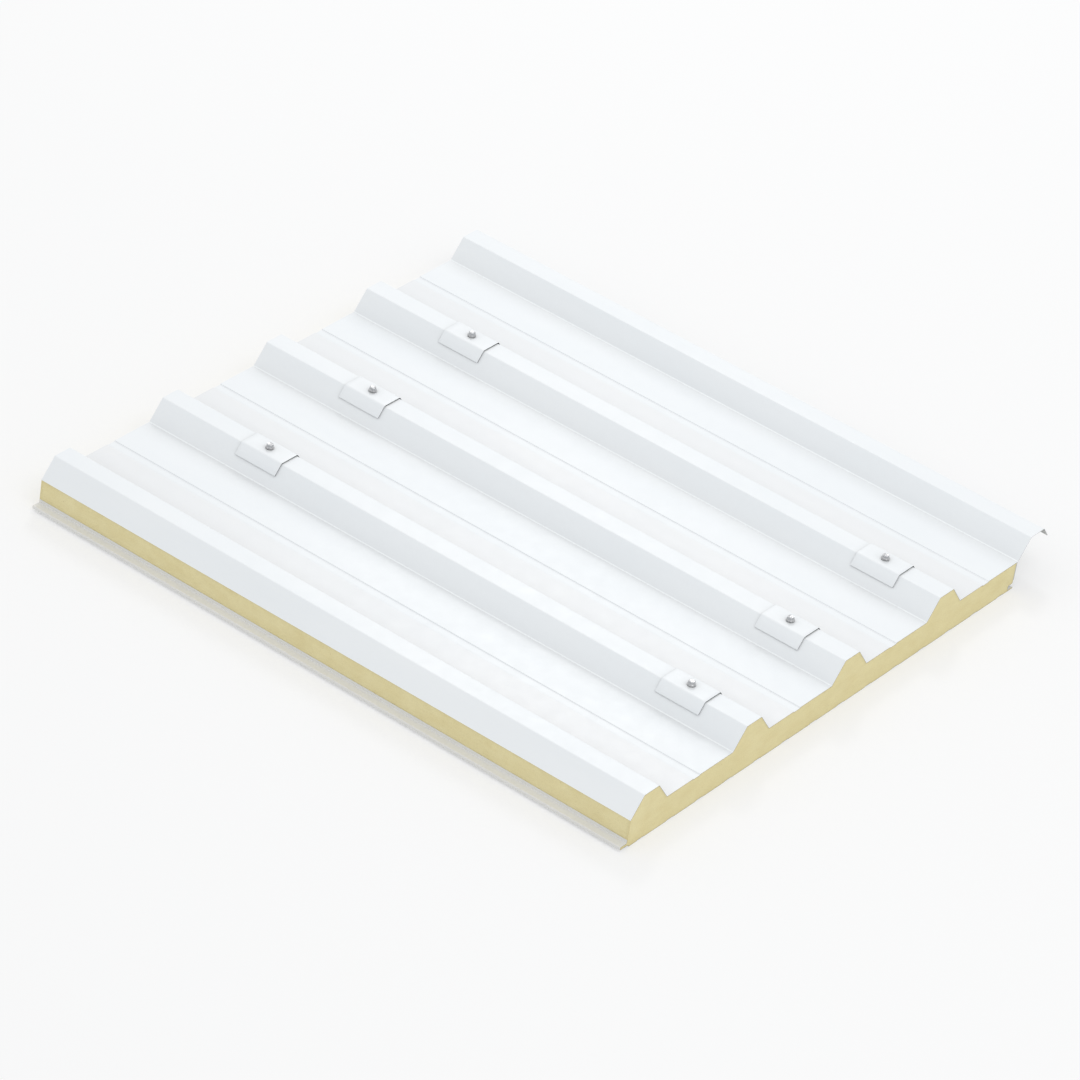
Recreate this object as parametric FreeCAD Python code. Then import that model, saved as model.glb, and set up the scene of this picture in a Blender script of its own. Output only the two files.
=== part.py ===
"""Insulated sandwich roof panel, one whole unit with its hold-down fixings.

Millimetres. X runs across the ribs, Y along them, Z up. The origin is on the panel's underside, in the
middle of its cover width and of its length. The joint rib is at the -X edge and the lap at the +X edge.
"""
import FreeCAD, Part

import math
import os

# Panel
PANEL_LENGTH = 1145.0
PANEL_DEPTH = 50.0          # underside to the top of the flat pans
RIB_COUNT = 4               # filled ribs, the joint rib at the -X edge included
RIB_PITCH = 250.0

# Ribs of the outer sheet
RIB_HEIGHT = 34.0
RIB_CROWN = 36.0            # width of the flat top, corner to corner
RIB_FLANK_RUN = 27.0        # how far each sloping flank reaches sideways
LAP_FLANK_COVER = 0.56      # share of its outer flank's height that the lap comes down

# Stiffening groove along each pan; its +X edge is the pan's middle
PAN_GROOVE_WIDTH = 18.0
PAN_GROOVE_DEPTH = 1.4
PAN_GROOVE_WALL = 1.4       # how far each side wall of the groove reaches sideways

# Sheets; bend radii are to the middle of the sheet
OUTER_THICKNESS = 0.5
OUTER_BEND = 3.0
PAN_GROOVE_BEND = 1.0
LINER_THICKNESS = 0.4
LINER_FOLD = 1.0

# Shallow ribs of the liner, raised off the underside
LINER_RIB_COUNT = 14
LINER_RIB_WIDTH = 20.0
LINER_RIB_WALL = 4.0
LINER_RIB_DEPTH = 1.0

# Joint between neighbours
LAP_CLEARANCE = 0.5         # lap's inside to the joint rib that it covers
EDGE_GAP = 0.6              # +X edge's strip and hem to the cover width's edge
STRIP_THICKNESS = 3.0
HEM_HEIGHT = 2.4            # folded liner edge under the groove, between the sheet's middles
TONGUE_HEIGHT = 5.0         # between the sheet's middles
TONGUE_REACH = 15.0
TONGUE_CLEARANCE = 1.0
LINER_LIP = 6.0             # stretch of liner turned up along the foam's side
TONGUE_STEP_INSET = 3.0     # foam side to the step down from the tongue
TONGUE_STEP_RUN = 4.0

# Fixings, on each rib but the joint rib
NEAR_LINE_INSET = 118.0     # screw line to the -Y end
FAR_LINE_INSET = 204.0      # screw line to the +Y end
SADDLE_LENGTH = 81.0
SADDLE_THICKNESS = 0.8
SADDLE_FLANK_COVER = 0.49   # share of each flank's height that the saddle comes down
SEAL_THICKNESS = 1.2
SEAL_INSET = 0.5            # seal's end to the saddle's end, along the rib
WASHER_DIAMETER = 14.0
WASHER_THICKNESS = 1.0
RING_THICKNESS = 1.0        # rubber ring under the washer
RING_INSET = 0.5
FLANGE_DIAMETER = 12.5
FLANGE_THICKNESS = 1.0
HEX_ACROSS_FLATS = 9.5
HEX_HEIGHT = 4.6
HEX_CHAMFER = 0.45
SHANK_DIAMETER = 6.3
HOLE_CLEARANCE = 0.05       # around the shank, in every layer

SAME_POINT = 1e-6           # points closer than this are one

# What follows from the sizes above
COVER_WIDTH = RIB_COUNT * RIB_PITCH
LEFT_EDGE = -COVER_WIDTH / 2
RIGHT_EDGE = COVER_WIDTH / 2
NEAR_END = -PANEL_LENGTH / 2
RIB_BASE = RIB_CROWN + 2 * RIB_FLANK_RUN
PAN_Z = PANEL_DEPTH - OUTER_THICKNESS / 2
CROWN_Z = PAN_Z + RIB_HEIGHT
FLANK_LENGTH = math.hypot(RIB_FLANK_RUN, RIB_HEIGHT)
LAP_SETBACK = OUTER_THICKNESS + LAP_CLEARANCE
LAP_SHIFT = LAP_SETBACK * FLANK_LENGTH / RIB_HEIGHT

# Long sides of the foam. The left one starts where the joint rib's sheet ends.
LEFT_SIDE = LEFT_EDGE + LAP_SHIFT + OUTER_THICKNESS / 2 * RIB_HEIGHT / FLANK_LENGTH
RIGHT_SIDE = RIGHT_EDGE - EDGE_GAP - STRIP_THICKNESS

# Levels of the liner, all to the middle of its sheet
LINER_Z = LINER_THICKNESS / 2
HEM_Z = LINER_Z + HEM_HEIGHT
TONGUE_BOTTOM_Z = HEM_Z + TONGUE_CLEARANCE + LINER_THICKNESS
TONGUE_TOP_Z = TONGUE_BOTTOM_Z + TONGUE_HEIGHT
GROOVE_TOP_Z = TONGUE_TOP_Z + TONGUE_CLEARANCE + LINER_THICKNESS

# Stack of a fixing, from the crown up
SADDLE_BOTTOM_Z = CROWN_Z + OUTER_THICKNESS / 2 + SEAL_THICKNESS
RING_Z = SADDLE_BOTTOM_Z + SADDLE_THICKNESS
WASHER_Z = RING_Z + RING_THICKNESS
HEAD_Z = WASHER_Z + WASHER_THICKNESS


def mitre(before, corner, after, offset):
    """The corner of a line moved sideways to its left, with the directions into and out of it."""
    length_in = math.dist(before, corner)
    length_out = math.dist(corner, after)
    way_in = ((corner[0] - before[0]) / length_in, (corner[1] - before[1]) / length_in)
    way_out = ((after[0] - corner[0]) / length_out, (after[1] - corner[1]) / length_out)
    scale = offset / (1 + way_in[0] * way_out[0] + way_in[1] * way_out[1])
    x = corner[0] - (way_in[1] + way_out[1]) * scale
    z = corner[1] + (way_in[0] + way_out[0]) * scale
    return (x, z), way_in, way_out


def end_point(start, towards, corner, offset):
    """The point beside `corner`, square to the run from `start` towards `towards`."""
    length = math.dist(start, towards)
    along = ((towards[0] - start[0]) / length, (towards[1] - start[1]) / length)
    return (corner[0] - along[1] * offset, corner[1] + along[0] * offset)


def bent_line(corners, offset=0.0):
    """Points of a bent sheet's side: pairs for straight runs, and start, middle and end for each bend.

    `corners` holds (x, z, bend radius) along the middle of the sheet, and the side lies `offset` to its
    left. Bends on both sides share their centres, so that layers fit face to face.
    """
    places = [(x, z) for x, z, _ in corners]
    at = end_point(places[0], places[1], places[0], offset)
    runs = []
    for index in range(1, len(corners) - 1):
        corner, way_in, way_out = mitre(*places[index - 1:index + 2], offset)
        cross = way_in[0] * way_out[1] - way_in[1] * way_out[0]
        turn = math.atan2(cross, way_in[0] * way_out[0] + way_in[1] * way_out[1])
        centre_side = math.copysign(1, turn)
        radius = corners[index][2] - centre_side * offset
        tangent = radius * math.tan(abs(turn) / 2)
        start = (corner[0] - way_in[0] * tangent, corner[1] - way_in[1] * tangent)
        end = (corner[0] + way_out[0] * tangent, corner[1] + way_out[1] * tangent)
        to_centre = (way_out[0] - way_in[0], way_out[1] - way_in[1])
        size = math.hypot(*to_centre)
        depth = radius / math.cos(turn / 2) - radius
        middle = (corner[0] + to_centre[0] / size * depth, corner[1] + to_centre[1] / size * depth)
        runs.append((at, start))
        runs.append((start, middle, end))
        at = end
    runs.append((at, end_point(places[-2], places[-1], places[-1], offset)))
    return runs


def backwards(runs):
    return [tuple(reversed(run)) for run in reversed(runs)]


def closed(runs):
    """The runs in a ring, with a straight one wherever two do not meet."""
    ring = []
    for run, following in zip(runs, runs[1:] + runs[:1]):
        ring.append(run)
        ring.append((run[-1], following[0]))
    return [run for run in ring if math.dist(run[0], run[-1]) > SAME_POINT]


def along_panel(runs, start=NEAR_END, length=PANEL_LENGTH):
    """A solid whose section across the panel is the closed outline `runs`."""
    edges = []
    for run in closed(runs):
        points = [FreeCAD.Vector(x, start, z) for x, z in run]
        curve = Part.LineSegment(*points) if len(points) == 2 else Part.Arc(*points)
        edges.append(curve.toShape())
    return Part.Face(Part.Wire(edges)).extrude(FreeCAD.Vector(0, length, 0))


def layer(corners, low, high, **place):
    """A bent layer between two offsets from the line through `corners`."""
    return along_panel(bent_line(corners, high) + backwards(bent_line(corners, low)), **place)


def rib(base_x, setback=0.0):
    """Corners of one rib from foot to foot, or of one that lies `setback` inside it."""
    shift = setback * FLANK_LENGTH / RIB_HEIGHT
    top_z = CROWN_Z - setback
    top_run = RIB_FLANK_RUN * (RIB_HEIGHT - setback) / RIB_HEIGHT
    left = base_x + shift
    right = base_x + RIB_BASE - shift
    return [
        (left, PAN_Z, OUTER_BEND),
        (left + top_run, top_z, OUTER_BEND),
        (right - top_run, top_z, OUTER_BEND),
        (right, PAN_Z, OUTER_BEND),
    ]


def capped(base_x, cover):
    """Corners of the upper share `cover` of a rib: down both flanks and across its crown."""
    foot_z = CROWN_Z - RIB_HEIGHT * cover
    foot_run = RIB_FLANK_RUN * (1 - cover)
    _, left, right, _ = rib(base_x)
    return [(base_x + foot_run, foot_z, 0), left, right, (base_x + RIB_BASE - foot_run, foot_z, 0)]


def pan_groove(middle_x):
    left = middle_x - PAN_GROOVE_WIDTH
    low_z = PAN_Z - PAN_GROOVE_DEPTH
    return [
        (left, PAN_Z, PAN_GROOVE_BEND),
        (left + PAN_GROOVE_WALL, low_z, PAN_GROOVE_BEND),
        (middle_x - PAN_GROOVE_WALL, low_z, PAN_GROOVE_BEND),
        (middle_x, PAN_Z, PAN_GROOVE_BEND),
    ]


def rib_x(index):
    """The -X foot of a rib; the joint rib is number 0 and the lap's is number RIB_COUNT."""
    return LEFT_EDGE + index * RIB_PITCH


def foam_backed_corners():
    """The outer sheet's line from the joint rib's foot to the last pan's groove."""
    corners = rib(rib_x(0), LAP_SETBACK)
    for index in range(RIB_COUNT):
        if index > 0:
            corners += rib(rib_x(index))
        pan_middle = (rib_x(index) + RIB_BASE + rib_x(index + 1)) / 2
        corners += pan_groove(pan_middle)
    return corners


def lap_corners():
    base_x = rib_x(RIB_COUNT)
    foot = rib(base_x)[0]
    return [foot] + capped(base_x, LAP_FLANK_COVER)[1:]


def liner_corners():
    """The liner's line, from its lip at the tongue side to its lip at the groove side."""
    left_lip_x = LEFT_SIDE - LINER_THICKNESS / 2
    tip_x = LEFT_SIDE - TONGUE_REACH
    step_x = LEFT_SIDE + TONGUE_STEP_INSET
    corners = [
        (left_lip_x, TONGUE_TOP_Z + LINER_LIP, 0),
        (left_lip_x, TONGUE_TOP_Z, LINER_FOLD),
        (tip_x, TONGUE_TOP_Z, LINER_FOLD),
        (tip_x, TONGUE_BOTTOM_Z, LINER_FOLD),
        (step_x, TONGUE_BOTTOM_Z, LINER_FOLD),
        (step_x + TONGUE_STEP_RUN, LINER_Z, LINER_FOLD),
    ]
    pitch = COVER_WIDTH / LINER_RIB_COUNT
    for index in range(LINER_RIB_COUNT):
        middle_x = LEFT_EDGE + (index + 0.5) * pitch
        left = middle_x - LINER_RIB_WIDTH / 2
        right = middle_x + LINER_RIB_WIDTH / 2
        top_z = LINER_Z + LINER_RIB_DEPTH
        corners += [
            (left, LINER_Z, LINER_FOLD),
            (left + LINER_RIB_WALL, top_z, LINER_FOLD),
            (right - LINER_RIB_WALL, top_z, LINER_FOLD),
            (right, LINER_Z, LINER_FOLD),
        ]
    hem_x = RIGHT_EDGE - EDGE_GAP - LINER_THICKNESS / 2
    neighbour_tip_x = COVER_WIDTH + tip_x - LINER_THICKNESS / 2
    groove_x = neighbour_tip_x - TONGUE_CLEARANCE - LINER_THICKNESS / 2
    right_lip_x = RIGHT_SIDE + LINER_THICKNESS / 2
    return corners + [
        (hem_x, LINER_Z, LINER_FOLD),
        (hem_x, HEM_Z, LINER_FOLD),
        (groove_x, HEM_Z, LINER_FOLD),
        (groove_x, GROOVE_TOP_Z, LINER_FOLD),
        (right_lip_x, GROOVE_TOP_Z, LINER_FOLD),
        (right_lip_x, GROOVE_TOP_Z + LINER_LIP, 0),
    ]


def upright(x, y, radius, bottom, top):
    return Part.makeCylinder(radius, top - bottom, FreeCAD.Vector(x, y, bottom))


def screw_places():
    """Name ending and position of each fixing: line by line, rib by rib."""
    lines = (NEAR_END + NEAR_LINE_INSET, -NEAR_END - FAR_LINE_INSET)
    places = [(rib_x(index) + RIB_BASE / 2, y) for y in lines for index in range(1, RIB_COUNT)]
    return list(enumerate(places, start=1))


def drilled(solid):
    """The solid with a hole for each screw's shank."""
    radius = SHANK_DIAMETER / 2 + HOLE_CLEARANCE
    box = solid.BoundBox
    holes = []
    for _, (x, y) in screw_places():
        if box.XMin < x < box.XMax and box.YMin < y < box.YMax:
            holes.append(upright(x, y, radius, box.ZMin - 1, box.ZMax + 1))
    return solid.cut(holes)


def outer_sheet():
    half = OUTER_THICKNESS / 2
    return drilled(layer(foam_backed_corners() + lap_corners(), -half, half))


def foam_core():
    """Fills everything between the two sheets' inner faces and the foam's long sides."""
    top = bent_line(foam_backed_corners() + [(RIGHT_SIDE, PAN_Z, 0)], -OUTER_THICKNESS / 2)
    bottom = bent_line(liner_corners(), LINER_THICKNESS / 2)
    return drilled(along_panel(top + backwards(bottom)))


def inner_liner():
    half = LINER_THICKNESS / 2
    return drilled(layer(liner_corners(), -half, half))


def joint_strip():
    """Seals the joint, between the liner's lip and the outer sheet."""
    bottom = GROOVE_TOP_Z + LINER_LIP
    height = PAN_Z - OUTER_THICKNESS / 2 - bottom
    corner = FreeCAD.Vector(RIGHT_SIDE, NEAR_END, bottom)
    return Part.makeBox(STRIP_THICKNESS, PANEL_LENGTH, height, corner)


def rib_cap(x, y, length, low, high):
    """A bent cap over one rib, centred on a screw."""
    corners = capped(x - RIB_BASE / 2, SADDLE_FLANK_COVER)
    return drilled(layer(corners, low, high, start=y - length / 2, length=length))


def saddle_seal(x, y):
    skin = OUTER_THICKNESS / 2
    return rib_cap(x, y, SADDLE_LENGTH - 2 * SEAL_INSET, skin, skin + SEAL_THICKNESS)


def saddle(x, y):
    inside = OUTER_THICKNESS / 2 + SEAL_THICKNESS
    return rib_cap(x, y, SADDLE_LENGTH, inside, inside + SADDLE_THICKNESS)


def washer_ring(x, y):
    return drilled(upright(x, y, WASHER_DIAMETER / 2 - RING_INSET, RING_Z, WASHER_Z))


def washer(x, y):
    return drilled(upright(x, y, WASHER_DIAMETER / 2, WASHER_Z, HEAD_Z))


def screw(x, y):
    """Hexagon head with a flange; the shank ends level with the panel's underside."""
    shank = upright(x, y, SHANK_DIAMETER / 2, 0, HEAD_Z)
    flange = upright(x, y, FLANGE_DIAMETER / 2, HEAD_Z, HEAD_Z + FLANGE_THICKNESS)
    head_height = FLANGE_THICKNESS + HEX_HEIGHT
    corner_radius = HEX_ACROSS_FLATS / 2 / math.cos(math.pi / 6)
    corners = []
    for side in range(7):
        angle = side * math.pi / 3
        across = corner_radius * math.cos(angle)
        along = corner_radius * math.sin(angle)
        corners.append(FreeCAD.Vector(x + across, y + along, HEAD_Z))
    prism = Part.Face(Part.makePolygon(corners)).extrude(FreeCAD.Vector(0, 0, head_height))
    slope = math.tan(math.pi / 3)
    wide = corner_radius + slope * (head_height - HEX_CHAMFER)
    narrow = corner_radius - slope * HEX_CHAMFER
    bevel = Part.makeCone(wide, narrow, head_height, FreeCAD.Vector(x, y, HEAD_Z))
    return shank.fuse([flange, prism.common(bevel)]).removeSplitter()


def main():
    os.makedirs("parts", exist_ok=True)
    pieces = {
        "outer_sheet": outer_sheet(),
        "foam_core": foam_core(),
        "inner_liner": inner_liner(),
        "joint_strip": joint_strip(),
    }
    for number, (x, y) in screw_places():
        pieces[f"saddle_seal_{number}"] = saddle_seal(x, y)
        pieces[f"saddle_{number}"] = saddle(x, y)
        pieces[f"washer_ring_{number}"] = washer_ring(x, y)
        pieces[f"washer_{number}"] = washer(x, y)
        pieces[f"screw_{number}"] = screw(x, y)
    for name, shape in pieces.items():
        shape.exportStep(f"parts/{name}.step")


main()
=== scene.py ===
"""Looks of the insulated sandwich roof panel, made on its CAD frame.

Metres. X runs across the ribs, Y along them, Z up, with the origin on the panel's underside.
"""

import math

import bmesh
import bpy
from mathutils import Matrix, Vector, geometry, kdtree, noise


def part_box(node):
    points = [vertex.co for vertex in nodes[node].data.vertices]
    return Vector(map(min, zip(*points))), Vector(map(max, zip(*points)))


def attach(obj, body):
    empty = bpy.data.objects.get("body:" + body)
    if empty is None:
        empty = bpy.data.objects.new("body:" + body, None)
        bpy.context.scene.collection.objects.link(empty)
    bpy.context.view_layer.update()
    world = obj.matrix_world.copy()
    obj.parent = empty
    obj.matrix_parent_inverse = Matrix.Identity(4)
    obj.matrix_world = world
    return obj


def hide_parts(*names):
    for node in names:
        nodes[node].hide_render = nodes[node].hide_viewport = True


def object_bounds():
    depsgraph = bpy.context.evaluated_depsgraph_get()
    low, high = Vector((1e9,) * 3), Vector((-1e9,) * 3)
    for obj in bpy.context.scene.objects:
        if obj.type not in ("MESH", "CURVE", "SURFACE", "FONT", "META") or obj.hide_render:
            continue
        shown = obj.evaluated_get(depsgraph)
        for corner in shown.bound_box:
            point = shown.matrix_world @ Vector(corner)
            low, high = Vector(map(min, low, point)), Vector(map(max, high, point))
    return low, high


# The photograph's view
VIEW_RIGHT = Vector((0.6144, -0.7778, 0.1325))
VIEW_UP = Vector((0.3699, 0.4323, 0.8224))
VIEW_DISTANCE = 8.93
VIEW_END = 200.0
WIDTH_SHARE = 0.94          # of the picture's width that the object takes
SENSOR_MM = 36.0
FIT_ROUNDS = 3              # of moving the camera until the object is in the middle

# Light. A white matt surface that gets 1 in all renders as white.
WORLD_LIGHT = 0.81
KEY_FROM = Vector((-0.15, -0.45, 0.88))
KEY_LIGHT = 0.12
KEY_SIZE = 2.2
BACK_FROM = Vector((0.62, 0.40, 0.68))
BACK_LIGHT = 0.12
BACK_SIZE = 0.9
LAMP_DISTANCE = 5.0

# Floor
FLOOR_SIZE = 60.0
FLOOR_DROP = 0.0002         # below the panel's underside
FLOOR_COLOUR = (0.93, 0.935, 0.94, 1)
FLOOR_GLOW = 0.45           # share of plain white that the camera sees on the floor

# Foam
NOISE_SEED = 1
CELL_SPACING = 0.003        # between the points of the sawn faces
CLEAR_OF_EDGE = 0.45        # of the spacing; more than a point strays, so that none leaves the outline
POINT_STRAY = 0.3           # of the spacing, along each axis
STRAY_WAVES = 900           # a metre
EDGE_STEP = 0.0005          # between the places on the outline that distances are measured to
FOAM_RECESS = 0.0003        # of the sawn faces behind the sheets' edges
FOAM_WAVE = 0.0003
FOAM_WAVES = 45             # a metre, within a face
FOAM_WAVES_THROUGH = 9      # a metre, at right angles to it
FOAM_SIDE_STEP = 0.006
SKIN_DEPTH = 0.0025         # denser foam beside the sheets

# Joint strip
STRIP_STEP = 0.006
STRIP_FACE_STEP = 0.004
STRIP_ROUNDING = 0.0006
STRIP_WAVE = 0.0004
STRIP_WAVES = 22            # a metre
STRIP_SLICE = 3.0           # through the noise
STRIP_END_BEVEL = 0.0003
STRIP_END_WIDTH = 0.8       # of the strip's thickness

# Painted shade: the coat darkened beside bends and fixings, as far as they hide the sky
PAINTED_SHADE_REACH = 0.045
PAINTED_SHADE_START = 0.02           # share of the sky that is hidden where the film starts
PAINTED_SHADE_FULL = 0.2
PAINTED_SHADE_SHARE = 0.34
PAINTED_SHADE_COLOUR = (0.50, 0.495, 0.485)
STEEP = 0.6                 # upward share of a normal
PAINTED_SHADE_ON_STEEP = 0.35        # of the painted shade on level faces

# Fainter painted shade on the half of each pan between a rib and the groove
PAN_PAINTED_SHADE_SHARE = 0.10
PAN_PAINTED_SHADE_START = 0.045      # from the rib's middle
PAN_PAINTED_SHADE_END = 0.107
PAN_PAINTED_SHADE_FADE = 0.003
PAN_PAINTED_SHADE_COLOUR = (0.58, 0.46, 0.39)
PAN_PLAY = 0.0001           # either way from the pans' level

# Painted highlight: a lighter line in the bend at the feet of the ribs
FOOT_START = 0.00002        # above the pans
FOOT_HEIGHT = 0.0011
FOOT_SLOPES = (0.66, 0.995)     # upward share of the normal in that bend
FOOT_HIGHLIGHT_COLOUR = (0.93, 0.965, 0.98)

# Saddles and their seals
SADDLE_ROUNDING = 0.0002
SEAL_ROUNDING = 0.0003
SADDLE_STEPS = 12
SADDLE_END = ((0.9, 0.0), (0.27, 0.3))      # inwards and along the rib, as shares of the rounding

# Screws and washers
HEX_ACROSS_FLATS = 0.0095
HEX_CORNER_WEAR = 0.985     # of the full corner radius
HEX_CHAMFER = 0.00045       # its height
CHAMFER_STEPS = (1, 12 / 15, 8 / 15, 4 / 15, 1 / 15)    # shares of it below the head's top
HEX_TOP = 0.96              # of the flats' radius, inside the chamfer
HEX_DISH = 0.00012
HEAD_TOP = ((0.92, 0.0), (0.86, 0.0), (0.82, 0.5), (0.78, 1.0), (0.4, 1.0))     # radius, dish
FLANGE_RIM = 0.0007
FLANGE_TOP = 0.00135
FLANGE_EDGE = 0.0002
SLOPE_STEPS = (0.6, 0.3, 0.1, 0.0)      # from the flange's rim to the hexagon's foot
SLOPE_RISE = 1.3            # powers of those steps that give the slope's height and width
SLOPE_SPREAD = 1.6
SLOPE_WIDTH = 0.8           # of the flange beyond the flats
SHANK_RADIUS = 0.00315
SHANK_TIP = 0.0005
HOLE_RADIUS = 0.0032
RIM_ROUNDING = 0.00025
WASHER_DISH = 0.0002
WASHER_HOLLOW = 0.1         # of its thickness, on its underside
RING_BULGE = 0.0003
RING_STEPS = 8
TURN_STEPS = 48

# Colours; a pair takes turns in soft patches
COAT = (0.858, 0.893, 0.92), (0.886, 0.915, 0.937)
PRIMER = (0.42, 0.43, 0.42), (0.49, 0.50, 0.49)
CUT_STEEL = (0.17, 0.175, 0.18), (0.30, 0.305, 0.31)
LINER = (0.765, 0.765, 0.745), (0.80, 0.80, 0.785)
FOAM = (0.80, 0.705, 0.395), (0.87, 0.79, 0.475)
FOAM_FLOW = (0.88, 0.81, 0.51)
FOAM_CELL_WALL = (0.50, 0.41, 0.17)
FOAM_VOID = (0.42, 0.33, 0.13)
FOAM_SKIN = (0.52, 0.43, 0.20)
STRIP = (0.56, 0.57, 0.56), (0.65, 0.66, 0.65)
STRIP_PIT = (0.36, 0.37, 0.36)
RUBBER = (0.018, 0.018, 0.020)
RUBBER_BLOOM = (0.055, 0.055, 0.058)
ZINC = (0.38, 0.385, 0.395), (0.56, 0.565, 0.575)

# Roughness, from the smoothest places to the dullest
COAT_ROUGHNESS = (0.36, 0.47)
LINER_ROUGHNESS = (0.50, 0.62)
FOAM_ROUGHNESS = (0.88, 0.97)
STRIP_ROUGHNESS = (0.80, 0.92)
RUBBER_ROUGHNESS = (0.62, 0.80)
ZINC_ROUGHNESS = (0.26, 0.44)

# Limits
SHARP_ANGLE = math.radians(38)
LEVEL = 0.999               # upward share of a level face's normal
UNDERSIDE = -0.2            # upward share below which a face is primed, not coated
END_FACE = 0.9              # lengthwise share above which a face is a cut end
SAME_PLACE = 1e-6
SAME_LINE = 1e-5
SAME_CORNER = 1e-7
INSIDE_ONLY = 1             # what the triangulation keeps
WAVE_KIND = (1.0, 2.0, 3)   # fractal noise: increment, ratio between its frequencies, their number
POINT_DIGITS = 7            # of metres, where two points are one
LEVEL_DIGITS = 5            # of metres, where two levels or upright lines are one


# Meshes

def end_outline(name):
    """The (x, z) loop round a CAD node's end face at its lowest y."""
    mesh = nodes[name].data
    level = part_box(name)[0].y + SAME_PLACE
    sides = {}
    for polygon in mesh.polygons:
        if all(mesh.vertices[index].co.y < level for index in polygon.vertices):
            places = [mesh.vertices[index].co for index in polygon.vertices]
            keys = [(round(place.x, POINT_DIGITS), round(place.z, POINT_DIGITS)) for place in places]
            for start, end in zip(keys, keys[1:] + keys[:1]):
                if start != end:
                    sides[(start, end)] = True
    following = {start: end for start, end in sides if (end, start) not in sides}
    loop = [next(iter(following))]
    while following[loop[-1]] != loop[0]:
        loop.append(following[loop[-1]])
    return loop if signed_area(loop) > 0 else loop[::-1]


def signed_area(loop):
    """The loop's area, positive where it runs anticlockwise."""
    pairs = zip(loop, loop[1:] + loop[:1])
    return sum(x1 * z2 - x2 * z1 for (x1, z1), (x2, z2) in pairs) / 2


def refined(loop, step):
    """The loop with points added so that no side is longer than `step`."""
    points = []
    for (x1, z1), (x2, z2) in zip(loop, loop[1:] + loop[:1]):
        count = max(1, math.ceil(math.hypot(x2 - x1, z2 - z1) / step))
        for index in range(count):
            share = index / count
            points.append((x1 + (x2 - x1) * share, z1 + (z2 - z1) * share))
    return points


def neighbours(loop):
    """Each point of the loop with the directions into and out of it."""
    for index, point in enumerate(loop):
        here = Vector(point)
        way_in = (here - Vector(loop[index - 1])).normalized()
        way_out = (Vector(loop[(index + 1) % len(loop)]) - here).normalized()
        yield here, way_in, way_out


def rounded(loop, radius):
    """The loop with an arc of three points at each sharp corner."""
    points = []
    for here, way_in, way_out in neighbours(loop):
        turn = abs(way_in.angle_signed(way_out))
        if turn < SHARP_ANGLE:
            points.append(tuple(here))
            continue
        reach = radius * math.tan(turn / 2)
        start = here - way_in * reach
        end = here + way_out * reach
        middle = (start + end) / 2
        bulge = reach * math.tan(turn / 4) / (here - middle).length
        crest = middle + (here - middle) * bulge * math.sin(turn / 2)
        points += [tuple(start), tuple(crest), tuple(end)]
    return points


def inset(loop, distance):
    """The loop moved inwards; it runs anticlockwise."""
    points = []
    for here, way_in, way_out in neighbours(loop):
        scale = distance / (1 + way_in.dot(way_out))
        across = way_in + way_out
        points.append((here.x - across.y * scale, here.y + across.x * scale))
    return points


def finished(name, mesh, node, material):
    """Adds the mesh as the piece that stands for a CAD node."""
    shaped = bmesh.new()
    shaped.from_mesh(mesh)
    bmesh.ops.recalc_face_normals(shaped, faces=shaped.faces)
    for face in shaped.faces:
        face.smooth = True
    for edge in shaped.edges:
        edge.smooth = edge.calc_face_angle(0) < SHARP_ANGLE
    shaped.to_mesh(mesh)
    shaped.free()
    mesh.materials.append(material)
    piece = bpy.data.objects.new(name, mesh)
    bpy.context.scene.collection.objects.link(piece)
    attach(piece, "root")
    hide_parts(node)


def skinned(name, rings, looped=False):
    """A closed mesh through rings of equally many points; its ends are filled unless it is looped."""
    size = len(rings[0])
    count = len(rings)
    faces = []
    for ring in range(count if looped else count - 1):
        start = ring * size
        after = (ring + 1) % count * size
        for here in range(size):
            there = (here + 1) % size
            faces.append((start + here, start + there, after + there, after + here))
    if not looped:
        faces.append(tuple(range(size)))
        faces.append(tuple(range((count - 1) * size, count * size)))
    mesh = bpy.data.meshes.new(name)
    mesh.from_pydata([point for ring in rings for point in ring], [], faces)
    return mesh


def wave_at(place):
    """Smooth noise of about 0 to 1."""
    return 0.5 + 0.5 * noise.fractal(place, *WAVE_KIND)


# Foam

def heights_at(loop, x):
    """Where the upright line at `x` crosses the loop, from below."""
    heights = []
    for (x1, z1), (x2, z2) in zip(loop, loop[1:] + loop[:1]):
        if (x1 <= x) != (x2 <= x):
            heights.append(z1 + (z2 - z1) * (x - x1) / (x2 - x1))
    return sorted(heights)


def inside_points(loop, spacing):
    """Uneven points that fill the loop, about `spacing` apart."""
    low = min(x for x, _ in loop)
    high = max(x for x, _ in loop)
    columns = int((high - low) / spacing)
    points = []
    for column in range(1, columns):
        x = low + (high - low) * column / columns
        heights = heights_at(loop, x)
        for bottom, top in zip(heights[::2], heights[1::2]):
            rows = int((top - bottom) / spacing)
            for row in range(1, rows):
                z = bottom + (top - bottom) * row / rows
                stray = noise.noise_vector((x * STRAY_WAVES, 0, z * STRAY_WAVES)) * spacing * POINT_STRAY
                points.append((x + stray.x, z + stray.z))
    return points


def section_points(outline):
    """The outline's points and points inside it, as (x, z, distance from the outline)."""
    edge_places = refined(outline, EDGE_STEP)
    edge_tree = kdtree.KDTree(len(edge_places))
    for index, (x, z) in enumerate(edge_places):
        edge_tree.insert((x, 0, z), index)
    edge_tree.balance()
    points = [(x, z, 0.0) for x, z in outline]
    for x, z in inside_points(outline, CELL_SPACING):
        away = edge_tree.find((x, 0, z))[2]
        if away > CELL_SPACING * CLEAR_OF_EDGE:
            points.append((x, z, away))
    return points


def section_triangles(points, sides):
    """Triangles between the section's points, inside its outline."""
    places = [Vector((x, z)) for x, z, _ in points]
    return geometry.delaunay_2d_cdt(places, sides, [], INSIDE_ONLY, SAME_CORNER)[2]


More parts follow.
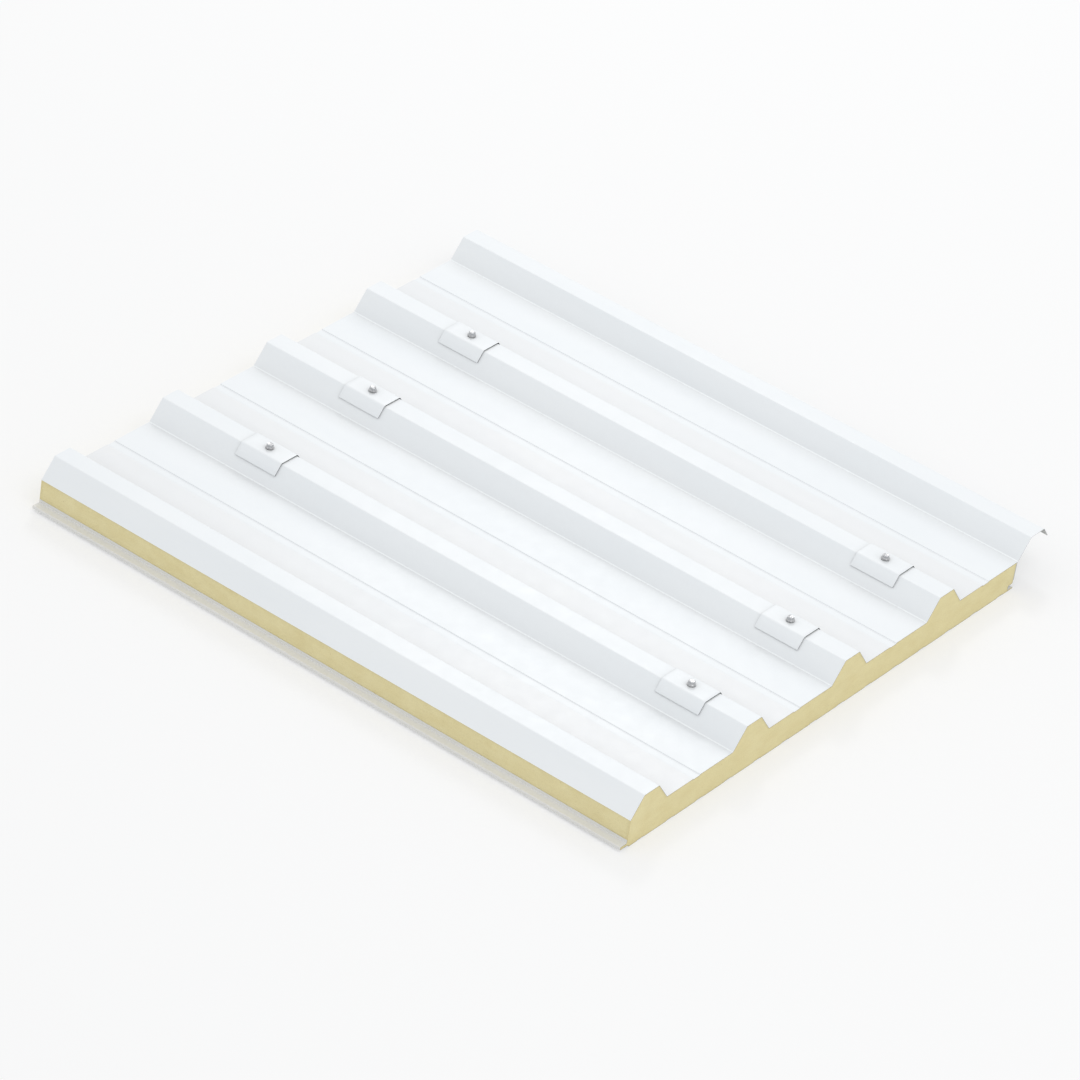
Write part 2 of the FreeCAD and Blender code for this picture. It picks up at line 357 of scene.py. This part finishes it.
def recess(away, place):
    """How far the foam stands back from its CAD face, `away` from the face's edge."""
    return min(away / CELL_SPACING, 1) * (FOAM_RECESS + FOAM_WAVE * wave_at(place))


def skin_at(away):
    """1 at a sheet, falling to 0 in the foam's middle."""
    return max(0.0, 1 - away / SKIN_DEPTH)


def bare_side(outline):
    """Place, bottom and top of the side that the sheets leave bare, the longest upright run at -X."""
    runs = {}
    for x, z in outline:
        if x < 0:
            runs.setdefault(round(x, LEVEL_DIGITS), []).append(z)
    side_x = max(runs, key=lambda x: len(runs[x]))
    return side_x, min(runs[side_x]), max(runs[side_x])


def foam_core(material):
    """The foam with its sawn ends and its bare long side, which stand a little behind the sheets."""
    low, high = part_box("foam_core")
    outline = refined(end_outline("foam_core"), CELL_SPACING)
    sides = [(index, (index + 1) % len(outline)) for index in range(len(outline))]
    points = section_points(outline)
    triangles = section_triangles(points, sides)

    vertices = []
    skin = []
    for end, inwards in ((low.y, 1), (high.y, -1)):
        for x, z, away in points:
            back = recess(away, (x * FOAM_WAVES, end * FOAM_WAVES_THROUGH, z * FOAM_WAVES))
            vertices.append((x, end + inwards * back, z))
            skin.append(skin_at(away))
    far = len(points)
    faces = [tuple(triangle) for triangle in triangles]
    faces += [tuple(far + index for index in triangle[::-1]) for triangle in triangles]

    side_x, bottom, top = bare_side(outline)
    columns = []
    steps = int((high.y - low.y) / FOAM_SIDE_STEP)
    for index, (x, z) in enumerate(outline):
        column = [index]
        if abs(x - side_x) < SAME_LINE and bottom - SAME_LINE < z < top + SAME_LINE:
            edge = min(z - bottom, top - z)
            for step in range(1, steps):
                y = low.y + (high.y - low.y) * step / steps
                away = min(edge, y - low.y, high.y - y)
                back = recess(away, (x * FOAM_WAVES_THROUGH, y * FOAM_WAVES, z * FOAM_WAVES))
                column.append(len(vertices))
                vertices.append((x + back, y, z))
                skin.append(skin_at(edge))
        columns.append(column + [far + index])
    for here, there in sides:
        one, other = columns[here], columns[there]
        if len(one) == len(other):
            for step in range(len(one) - 1):
                faces.append((one[step], one[step + 1], other[step + 1], other[step]))
        else:
            faces.append(tuple(one + other[::-1]))
    mesh = bpy.data.meshes.new("foam")
    mesh.from_pydata(vertices, [], faces)
    mesh.attributes.new("skin", "FLOAT", "POINT").data.foreach_set("value", skin)
    finished("foam", mesh, "foam_core", material)


# Other pieces

def strip_end(ring, y, middle):
    """A smaller ring at the strip's end and the full one beside it, which round the end."""
    small = []
    for x, _, z in ring:
        across = middle.x + (x - middle.x) * STRIP_END_WIDTH
        small.append((across, y, z - math.copysign(STRIP_END_BEVEL, z - middle.z)))
    full = [(x, y + math.copysign(STRIP_END_BEVEL, middle.y - y), z) for x, _, z in ring]
    return [small, full]


def joint_strip(material):
    """A soft strip with rounded edges, a little uneven along its outer face."""
    low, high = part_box("joint_strip")
    corners = [(low.x, low.z), (high.x, low.z), (high.x, high.z), (low.x, high.z)]
    loop = refined(rounded(corners, STRIP_ROUNDING), STRIP_FACE_STEP)
    steps = int((high.y - low.y) / STRIP_STEP)
    middle = (low + high) / 2
    rings = []
    for step in range(steps + 1):
        y = low.y + (high.y - low.y) * step / steps
        ring = []
        for x, z in loop:
            wave = wave_at((STRIP_SLICE, y * STRIP_WAVES, z * STRIP_WAVES))
            outer = max(0.0, (x - low.x) / (high.x - low.x))
            ring.append((x - STRIP_WAVE * wave * outer, y, z))
        rings.append(ring)
    near = strip_end(rings[0], low.y, middle)
    far = strip_end(rings[-1], high.y, middle)
    rings = near + rings[1:-1] + far[::-1]
    finished("strip", skinned("strip", rings), "joint_strip", material)


def rib_cap(name, node, rounding, material):
    """A bent cap over a rib, with rounded edges."""
    low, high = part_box(node)
    loop = rounded(end_outline(node), rounding)
    near = []
    far = []
    for inwards, along in SADDLE_END:
        smaller = inset(loop, rounding * inwards)
        near.append([(x, low.y + rounding * along, z) for x, z in smaller])
        far.append([(x, high.y - rounding * along, z) for x, z in smaller])
    rings = []
    for step in range(SADDLE_STEPS + 1):
        y = low.y + rounding + (high.y - low.y - 2 * rounding) * step / SADDLE_STEPS
        rings.append([(x, y, z) for x, z in loop])
    finished(name, skinned(name, near + rings + far[::-1]), node, material)


def turned(centre, radius_at, level):
    """A ring of points round an upright axis."""
    ring = []
    for step in range(TURN_STEPS):
        angle = step * math.tau / TURN_STEPS
        radius = radius_at(angle) if callable(radius_at) else radius_at
        ring.append((centre.x + radius * math.cos(angle), centre.y + radius * math.sin(angle), level))
    return ring


def hexagon(angle):
    """Radius of the head's hexagon, with worn corners, one of them at angle 0."""
    to_flat = angle % (math.pi / 3) - math.pi / 6
    half = HEX_ACROSS_FLATS / 2
    corner = half / math.cos(math.pi / 6) * HEX_CORNER_WEAR
    return min(half / math.cos(to_flat), corner)


def screw(number, material):
    """Hexagon head on a flange; the shank goes through the panel and ends level with its underside."""
    node = f"screw_{number}"
    low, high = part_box(node)
    centre = (low + high) / 2
    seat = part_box(f"washer_{number}")[1].z
    flange = (high.x - low.x) / 2
    flats = HEX_ACROSS_FLATS / 2
    slope_foot = flange - FLANGE_EDGE * 2
    slope_bottom = seat + FLANGE_RIM + FLANGE_EDGE / 2
    slope_top = seat + FLANGE_TOP
    stations = [
        (SHANK_RADIUS - SHANK_TIP, low.z),
        (SHANK_RADIUS, low.z + SHANK_TIP * 0.8),
        (SHANK_RADIUS, seat - FLANGE_EDGE * 3),
        (SHANK_RADIUS, seat),
        (flange - FLANGE_EDGE, seat),
        (flange - FLANGE_EDGE * 0.25, seat + FLANGE_EDGE * 0.3),
        (flange, seat + FLANGE_EDGE),
        (flange, seat + FLANGE_RIM - FLANGE_EDGE * 0.75),
        (flange - FLANGE_EDGE * 0.6, seat + FLANGE_RIM),
        (slope_foot, slope_bottom),
    ]
    rings = [turned(centre, radius, level) for radius, level in stations]
    for share in SLOPE_STEPS:
        level = slope_top - (slope_top - slope_bottom) * share ** SLOPE_RISE
        beyond = (slope_foot - flats) * share ** SLOPE_SPREAD * SLOPE_WIDTH
        rings.append(turned(centre, lambda angle, beyond=beyond: hexagon(angle) + beyond, level))
    for share in CHAMFER_STEPS:
        below = HEX_CHAMFER * share
        widest = flats * HEX_TOP + below * math.tan(math.pi / 3)
        level = high.z - below
        rings.append(turned(centre, lambda angle, widest=widest: min(hexagon(angle), widest), level))
    for share, dished in HEAD_TOP:
        rings.append(turned(centre, flats * share, high.z - HEX_DISH * dished))
    finished(f"bolt_{number}", skinned(node, rings), node, material)


def washer(number, material):
    """Steel disc with rounded rims, dished down beyond the screw's flange."""
    node = f"washer_{number}"
    low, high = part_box(node)
    centre = (low + high) / 2
    screw_low, screw_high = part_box(f"screw_{number}")
    flange = (screw_high.x - screw_low.x) / 2
    rim = (high.x - low.x) / 2
    rim_top = high.z - WASHER_DISH
    hollow = low.z + (high.z - low.z) * WASHER_HOLLOW
    profile = [
        (HOLE_RADIUS, high.z),
        (flange, high.z),
        ((flange + rim) / 2, high.z - WASHER_DISH * 0.6),
        (rim - RIM_ROUNDING, rim_top),
        (rim - RIM_ROUNDING * 0.3, rim_top - RIM_ROUNDING * 0.3),
        (rim, rim_top - RIM_ROUNDING),
        (rim, low.z + RIM_ROUNDING),
        (rim - RIM_ROUNDING * 0.3, low.z + RIM_ROUNDING * 0.3),
        (rim - RIM_ROUNDING, low.z),
        (flange, hollow),
        (HOLE_RADIUS, hollow),
    ]
    rings = [turned(centre, radius, level) for radius, level in profile]
    finished(f"disc_{number}", skinned(node, rings, looped=True), node, material)


def washer_ring(number, material):
    """Rubber ring, squeezed so that its side bulges."""
    node = f"washer_ring_{number}"
    low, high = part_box(node)
    centre = (low + high) / 2
    rim = (high.x - low.x) / 2
    profile = [(HOLE_RADIUS, low.z), (HOLE_RADIUS, high.z)]
    for step in range(RING_STEPS + 1):
        share = 1 - step / RING_STEPS
        drawn_in = RING_BULGE * (1 - math.sqrt(max(0.0, 1 - (2 * share - 1) ** 2)))
        profile.append((rim - drawn_in, low.z + (high.z - low.z) * share))
    rings = [turned(centre, radius, level) for radius, level in profile]
    finished(f"grommet_{number}", skinned(node, rings, looped=True), node, material)


# Shader nodes

def add(tree, kind, inputs=None, **settings):
    """Adds a shader node; an input is a value or another node's output."""
    node = tree.nodes.new("ShaderNode" + kind)
    for name, value in settings.items():
        setattr(node, name, value)
    for key, value in (inputs or {}).items():
        if isinstance(value, bpy.types.NodeSocket):
            tree.links.new(value, node.inputs[key])
        else:
            node.inputs[key].default_value = value
    return node


def surface(name, **values):
    """A material, with plain values on its shader's own inputs."""
    material = bpy.data.materials.new(name)
    material.use_nodes = True
    tree = material.node_tree
    shader = tree.nodes["Principled BSDF"]
    for key, value in values.items():
        shader.inputs[key.replace("_", " ")].default_value = value
    return material, tree, shader


def stretched(tree, scale):
    """Object coordinates, scaled along each axis."""
    place = add(tree, "TexCoord").outputs["Object"]
    return add(tree, "Mapping", {"Vector": place, "Scale": scale}).outputs[0]


def grain(tree, scale, detail=2.0, roughness=0.5, stretch=(1, 1, 1)):
    """Noise of about 0 to 1, `scale` features a metre."""
    inputs = {"Vector": stretched(tree, stretch), "Scale": scale}
    inputs |= {"Detail": detail, "Roughness": roughness}
    return add(tree, "TexNoise", inputs).outputs["Fac"]


def cells(tree, scale, feature="F1"):
    """Distance to the middle of the nearest cell, `scale` cells a metre."""
    inputs = {"Vector": stretched(tree, (1, 1, 1)), "Scale": scale}
    return add(tree, "TexVoronoi", inputs, feature=feature).outputs["Distance"]


def spread(tree, value, low, high, to_low=0.0, to_high=1.0):
    """The value's range between `low` and `high`, spread from `to_low` to `to_high`."""
    inputs = {"Value": value, "From Min": low, "From Max": high, "To Min": to_low, "To Max": to_high}
    return add(tree, "MapRange", inputs).outputs[0]


def maths(tree, operation, one, other=0.0):
    """One sum, product, comparison or the like."""
    return add(tree, "Math", {0: one, 1: other}, operation=operation).outputs[0]


def product(tree, one, other):
    """The two values multiplied."""
    return maths(tree, "MULTIPLY", one, other)


def between(tree, value, low, high):
    """1 where the value lies between the two levels."""
    return product(tree, maths(tree, "GREATER_THAN", value, low), maths(tree, "LESS_THAN", value, high))


def blended(tree, share, one, other):
    """Colour `one` turning into `other` as `share` goes from 0 to 1."""
    mix = add(tree, "Mix", {0: share}, data_type="RGBA")
    for index, colour in ((6, one), (7, other)):
        if isinstance(colour, bpy.types.NodeSocket):
            tree.links.new(colour, mix.inputs[index])
        else:
            mix.inputs[index].default_value = (*colour, 1)
    return mix.outputs[2]


def patches(tree, colours, pattern, low=0.3, high=0.7):
    """Two colours that take turns where the pattern goes from `low` to `high`."""
    return blended(tree, spread(tree, pattern, low, high), *colours)


def raised(tree, height, distance, strength=1.0, below=None):
    """A bump of the given depth, on top of another."""
    inputs = {"Height": height, "Distance": distance, "Strength": strength}
    if below is not None:
        inputs["Normal"] = below
    return add(tree, "Bump", inputs).outputs[0]


def place_along(tree, axis):
    """The object coordinate along one axis."""
    return add(tree, "SeparateXYZ", {0: stretched(tree, (1, 1, 1))}).outputs[axis]


def facing(tree, axis):
    """The plain face normal's share along an axis."""
    normal = add(tree, "NewGeometry").outputs["True Normal"]
    return add(tree, "SeparateXYZ", {0: normal}).outputs[axis]


def dress(tree, shader, colour, roughness, normal, metallic=None):
    """Links what varies over the surface to the shader."""
    inputs = {"Base Color": colour, "Roughness": roughness, "Normal": normal, "Metallic": metallic}
    for key, value in inputs.items():
        if value is not None:
            tree.links.new(value, shader.inputs[key])


# Materials

def cut_ends(tree):
    """1 on the faces that the saw left, at the panel's two ends."""
    return maths(tree, "GREATER_THAN", maths(tree, "ABSOLUTE", facing(tree, "Y")), END_FACE)


def sheltered(tree, reach):
    """Share of the sky that the nearest bends and pieces hide, 0 in the open."""
    open_share = add(tree, "AmbientOcclusion", {"Distance": reach}, samples=6).outputs["AO"]
    return maths(tree, "SUBTRACT", 1.0, open_share)


def bend_painted_shade(tree, upwards):
    """Share of painted shade on the coat beside bends and fixings, less on steep faces."""
    painted_shade = spread(tree, sheltered(tree, PAINTED_SHADE_REACH), PAINTED_SHADE_START, PAINTED_SHADE_FULL, 0.0, PAINTED_SHADE_SHARE)
    return product(tree, painted_shade, spread(tree, upwards, STEEP, 1.0, PAINTED_SHADE_ON_STEEP, 1.0))


def pan_level():
    """Height of the pans, where most of the outer sheet's level faces lie."""
    areas = {}
    for polygon in nodes["outer_sheet"].data.polygons:
        if polygon.normal.z > LEVEL:
            height = round(polygon.center.z, LEVEL_DIGITS)
            areas[height] = areas.get(height, 0) + polygon.area
    return max(areas, key=areas.get)


def pan_painted_shade(tree):
    """Share of painted shade on the sheltered half of each pan, from a rib to the groove."""
    first, second = [sum(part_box(f"saddle_{number}"), Vector()).x / 2 for number in (1, 2)]
    pitch = second - first
    left_of_panel = first - 4 * pitch
    across = maths(tree, "SUBTRACT", place_along(tree, "X"), left_of_panel)
    from_rib = maths(tree, "MODULO", across, pitch)
    fade_start = PAN_PAINTED_SHADE_END - PAN_PAINTED_SHADE_FADE
    fading = spread(tree, from_rib, fade_start, PAN_PAINTED_SHADE_END + PAN_PAINTED_SHADE_FADE, PAN_PAINTED_SHADE_SHARE, 0.0)
    level = pan_level()
    flat = between(tree, place_along(tree, "Z"), level - PAN_PLAY, level + PAN_PLAY)
    beside_rib = maths(tree, "GREATER_THAN", from_rib, PAN_PAINTED_SHADE_START)
    return product(tree, product(tree, beside_rib, flat), fading)


def foot_highlight_mask(tree, upwards):
    """1 in the bend where a flank leaves the pan, which gets the painted highlight."""
    level = pan_level()
    low = between(tree, place_along(tree, "Z"), level + FOOT_START, level + FOOT_HEIGHT)
    return product(tree, low, between(tree, upwards, *FOOT_SLOPES))


def bare_zinc(tree):
    """Colour of sawn galvanized steel."""
    return patches(tree, CUT_STEEL, grain(tree, scale=260, detail=3))


def white_coat(name, waves=True):
    """Satin white polyester coat on rolled steel, grey primer underneath, bare metal where it is cut."""
    material, tree, shader = surface(name, Specular_IOR_Level=0.45)
    upwards = facing(tree, "Z")
    coat = patches(tree, COAT, grain(tree, scale=5, detail=3, roughness=0.55, stretch=(2.5, 0.6, 2.5)))
    # Painted shade beside bends and fixings, from ambient occlusion
    coat = blended(tree, bend_painted_shade(tree, upwards), coat, PAINTED_SHADE_COLOUR)
    # Painted shade, warm, on the half of each pan beside a rib
    coat = blended(tree, pan_painted_shade(tree), coat, PAN_PAINTED_SHADE_COLOUR)
    # Painted highlight in the bend at each rib's foot
    coat = blended(tree, foot_highlight_mask(tree, upwards), coat, FOOT_HIGHLIGHT_COLOUR)
    primer = patches(tree, PRIMER, grain(tree, scale=70, detail=4), 0.35, 0.65)
    painted = blended(tree, maths(tree, "LESS_THAN", upwards, UNDERSIDE), coat, primer)
    ends = cut_ends(tree)
    colour = blended(tree, ends, painted, bare_zinc(tree))
    dull = grain(tree, scale=38, detail=4, roughness=0.6)
    roughness = spread(tree, dull, 0.25, 0.75, *COAT_ROUGHNESS)
    peel = raised(tree, grain(tree, scale=620), distance=0.00003, strength=0.35)
    roll_lines = grain(tree, scale=150, stretch=(1, 0.012, 1))
    relief = raised(tree, roll_lines, distance=0.00003, strength=0.4, below=peel)
    if waves:
        buckles = grain(tree, scale=7, detail=1, roughness=0.4, stretch=(1.4, 0.45, 1.4))
        relief = raised(tree, buckles, distance=0.0006, strength=0.5, below=relief)
    dress(tree, shader, colour, roughness, relief, ends)
    return material


def liner_coat():
    """Matt off-white coat with a fine embossed grain."""
    material, tree, shader = surface("liner_coat", Specular_IOR_Level=0.4)
    coat = patches(tree, LINER, grain(tree, scale=6, detail=3, roughness=0.55, stretch=(2, 0.5, 2)))
    ends = cut_ends(tree)
    colour = blended(tree, ends, coat, bare_zinc(tree))
    dull = grain(tree, scale=45, detail=4, roughness=0.6)
    roughness = spread(tree, dull, 0.25, 0.75, *LINER_ROUGHNESS)
    emboss = raised(tree, cells(tree, 700, "SMOOTH_F1"), distance=0.00005, strength=0.35)
    relief = raised(tree, grain(tree, scale=900), distance=0.00002, strength=0.4, below=emboss)
    dress(tree, shader, colour, roughness, relief, ends)
    return material


def foam_material():
    """Pale yellow rigid foam: fine cells, a few voids, faint flow marks, a dense skin at the sheets."""
    material, tree, shader = surface("foam_cells", Specular_IOR_Level=0.15)
    body = patches(tree, FOAM, grain(tree, scale=28, detail=5, roughness=0.6, stretch=(1, 1, 1.6)))
    flow = grain(tree, scale=60, detail=3, roughness=0.6, stretch=(0.35, 0.35, 2.2))
    body = blended(tree, spread(tree, flow, 0.35, 0.7, to_high=0.35), body, FOAM_FLOW)
    cell_walls = cells(tree, 1100)
    body = blended(tree, spread(tree, cell_walls, 0.25, 0.75, to_high=0.22), body, FOAM_CELL_WALL)
    kept = spread(tree, grain(tree, scale=37, detail=1), 0.56, 0.62)
    voids = product(tree, spread(tree, cells(tree, 105), 0.0, 0.11, 1.0, 0.0), kept)
    body = blended(tree, product(tree, voids, 0.55), body, FOAM_VOID)
    skin = add(tree, "Attribute", attribute_name="skin").outputs["Fac"]
    body = blended(tree, product(tree, skin, 0.30), body, FOAM_SKIN)
    roughness = spread(tree, grain(tree, scale=300), 0.3, 0.7, *FOAM_ROUGHNESS)
    pores = raised(tree, cell_walls, distance=0.0005, strength=0.55)
    sunk = raised(tree, product(tree, voids, -1.0), distance=0.0009, strength=0.8, below=pores)
    saw_marks = grain(tree, scale=330, stretch=(1, 1, 0.06))
    relief = raised(tree, saw_marks, distance=0.0003, strength=0.25, below=sunk)
    dress(tree, shader, body, roughness, relief)
    return material


def strip_material():
    """Light grey closed-cell strip."""
    material, tree, shader = surface("closed_cell", Specular_IOR_Level=0.25)
    body = patches(tree, STRIP, grain(tree, scale=40, detail=4))
    pits = cells(tree, 900)
    body = blended(tree, spread(tree, pits, 0.3, 0.8, to_high=0.35), body, STRIP_PIT)
    roughness = spread(tree, grain(tree, scale=200), 0.3, 0.7, *STRIP_ROUGHNESS)
    dress(tree, shader, body, roughness, raised(tree, pits, distance=0.0003, strength=0.5))
    return material


def rubber_material():
    """Matt black sealing rubber with a faint bloom."""
    material, tree, shader = surface("sealing_rubber", Specular_IOR_Level=0.35)
    bloom = grain(tree, scale=180, detail=4, roughness=0.6)
    body = blended(tree, spread(tree, bloom, 0.45, 0.75, to_high=0.6), RUBBER, RUBBER_BLOOM)
    roughness = spread(tree, grain(tree, scale=400, detail=3), 0.3, 0.7, *RUBBER_ROUGHNESS)
    relief = raised(tree, grain(tree, scale=1500), distance=0.00003, strength=0.5)
    dress(tree, shader, body, roughness, relief)
    return material


def zinc_material():
    """Zinc plated steel, slightly dull."""
    material, tree, shader = surface("zinc_plate", Metallic=1.0)
    body = patches(tree, ZINC, grain(tree, scale=420, detail=4, roughness=0.6))
    dull = grain(tree, scale=650, detail=3, roughness=0.6)
    roughness = spread(tree, dull, 0.3, 0.7, *ZINC_ROUGHNESS)
    relief = raised(tree, grain(tree, scale=2200, detail=3), distance=0.00002, strength=0.4)
    dress(tree, shader, body, roughness, relief)
    return material


# Studio

def seen_directly(tree):
    """1 for the rays that show a thing itself: straight, mirrored or through glass."""
    path = add(tree, "LightPath")
    seen = maths(tree, "MAXIMUM", path.outputs["Is Camera Ray"], path.outputs["Is Glossy Ray"])
    return maths(tree, "MAXIMUM", seen, path.outputs["Is Transmission Ray"])


def studio_world():
    """Even light from all round, in front of a white backdrop."""
    world = bpy.data.worlds.new("studio")
    bpy.context.scene.world = world
    world.use_nodes = True
    tree = world.node_tree
    background = tree.nodes["Background"]
    background.inputs["Color"].default_value = (1, 1, 1, 1)
    strength = spread(tree, seen_directly(tree), 0.0, 1.0, WORLD_LIGHT, 1.0)
    tree.links.new(strength, background.inputs["Strength"])


def floor():
    """Large pale floor that shows nearly white and keeps the object's shadow."""
    half = FLOOR_SIZE / 2
    corners = [(-half, -half, 0), (half, -half, 0), (half, half, 0), (-half, half, 0)]
    mesh = bpy.data.meshes.new("floor")
    mesh.from_pydata(corners, [], [(0, 1, 2, 3)])
    material = bpy.data.materials.new("floor")
    material.use_nodes = True
    tree = material.node_tree
    tree.nodes.remove(tree.nodes["Principled BSDF"])
    matt = add(tree, "BsdfDiffuse", {"Color": FLOOR_COLOUR}).outputs[0]
    glow = add(tree, "Emission", {"Color": (1, 1, 1, 1), "Strength": 1.0}).outputs[0]
    share = product(tree, seen_directly(tree), FLOOR_GLOW)
    mixed = add(tree, "MixShader", {0: share, 1: matt, 2: glow}).outputs[0]
    tree.links.new(mixed, tree.nodes["Material Output"].inputs["Surface"])
    mesh.materials.append(material)
    plane = bpy.data.objects.new("floor", mesh)
    plane.location.z = -FLOOR_DROP
    bpy.context.scene.collection.objects.link(plane)


def lamp(name, direction, level, size):
    """A soft square lamp that adds `level` to a white surface turned towards it."""
    data = bpy.data.lights.new(name, "AREA")
    data.size = size
    data.energy = level * math.pi ** 2 * LAMP_DISTANCE ** 2
    source = bpy.data.objects.new(name, data)
    towards = direction.normalized()
    source.location = towards * LAMP_DISTANCE
    source.rotation_mode = "QUATERNION"
    source.rotation_quaternion = towards.to_track_quat("Z", "Y")
    bpy.context.scene.collection.objects.link(source)


def camera():
    """Looks from the photograph's side, with the object in the middle of a square picture."""
    data = bpy.data.cameras.new("photo_view")
    data.sensor_width = SENSOR_MM
    data.clip_end = VIEW_END
    back = VIEW_RIGHT.cross(VIEW_UP).normalized()
    up = back.cross(VIEW_RIGHT).normalized()
    right = up.cross(back)
    sheets = [nodes[name].data for name in ("outer_sheet", "inner_liner")]
    points = [vertex.co for sheet in sheets for vertex in sheet.vertices]
    place = (cad_box[0] + cad_box[1]) / 2 + back * VIEW_DISTANCE
    for _ in range(FIT_ROUNDS):
        across = [(point - place).dot(right) / -(point - place).dot(back) for point in points]
        above = [(point - place).dot(up) / -(point - place).dot(back) for point in points]
        place += right * (min(across) + max(across)) / 2 * VIEW_DISTANCE
        place += up * (min(above) + max(above)) / 2 * VIEW_DISTANCE
    data.lens = SENSOR_MM * WIDTH_SHARE / (max(across) - min(across))
    eye = bpy.data.objects.new("photo_view", data)
    eye.matrix_world = Matrix.Translation(place) @ Matrix((right, up, back)).transposed().to_4x4()
    bpy.context.scene.collection.objects.link(eye)
    bpy.context.scene.camera = eye


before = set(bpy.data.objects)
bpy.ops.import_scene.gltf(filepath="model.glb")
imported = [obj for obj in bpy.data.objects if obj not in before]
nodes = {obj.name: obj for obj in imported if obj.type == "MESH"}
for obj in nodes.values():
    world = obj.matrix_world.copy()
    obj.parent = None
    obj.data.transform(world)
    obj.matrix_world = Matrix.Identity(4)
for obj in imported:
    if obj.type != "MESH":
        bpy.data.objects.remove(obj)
cad_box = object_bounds()
bpy.context.scene.view_settings.view_transform = "Standard"
noise.seed_set(NOISE_SEED)      # Blender's vector noise otherwise starts from the clock

nodes["outer_sheet"].data.materials[0] = white_coat("outer_coat")
nodes["inner_liner"].data.materials[0] = liner_coat()
foam_core(foam_material())
joint_strip(strip_material())
rubber = rubber_material()
zinc = zinc_material()
saddle_coat = white_coat("saddle_coat", waves=False)
for number in range(1, 7):
    rib_cap(f"seal_{number}", f"saddle_seal_{number}", SEAL_ROUNDING, rubber)
    rib_cap(f"cap_{number}", f"saddle_{number}", SADDLE_ROUNDING, saddle_coat)
    washer_ring(number, rubber)
    washer(number, zinc)
    screw(number, zinc)

studio_world()
floor()
lamp("key", KEY_FROM, KEY_LIGHT, KEY_SIZE)
lamp("back", BACK_FROM, BACK_LIGHT, BACK_SIZE)
camera()
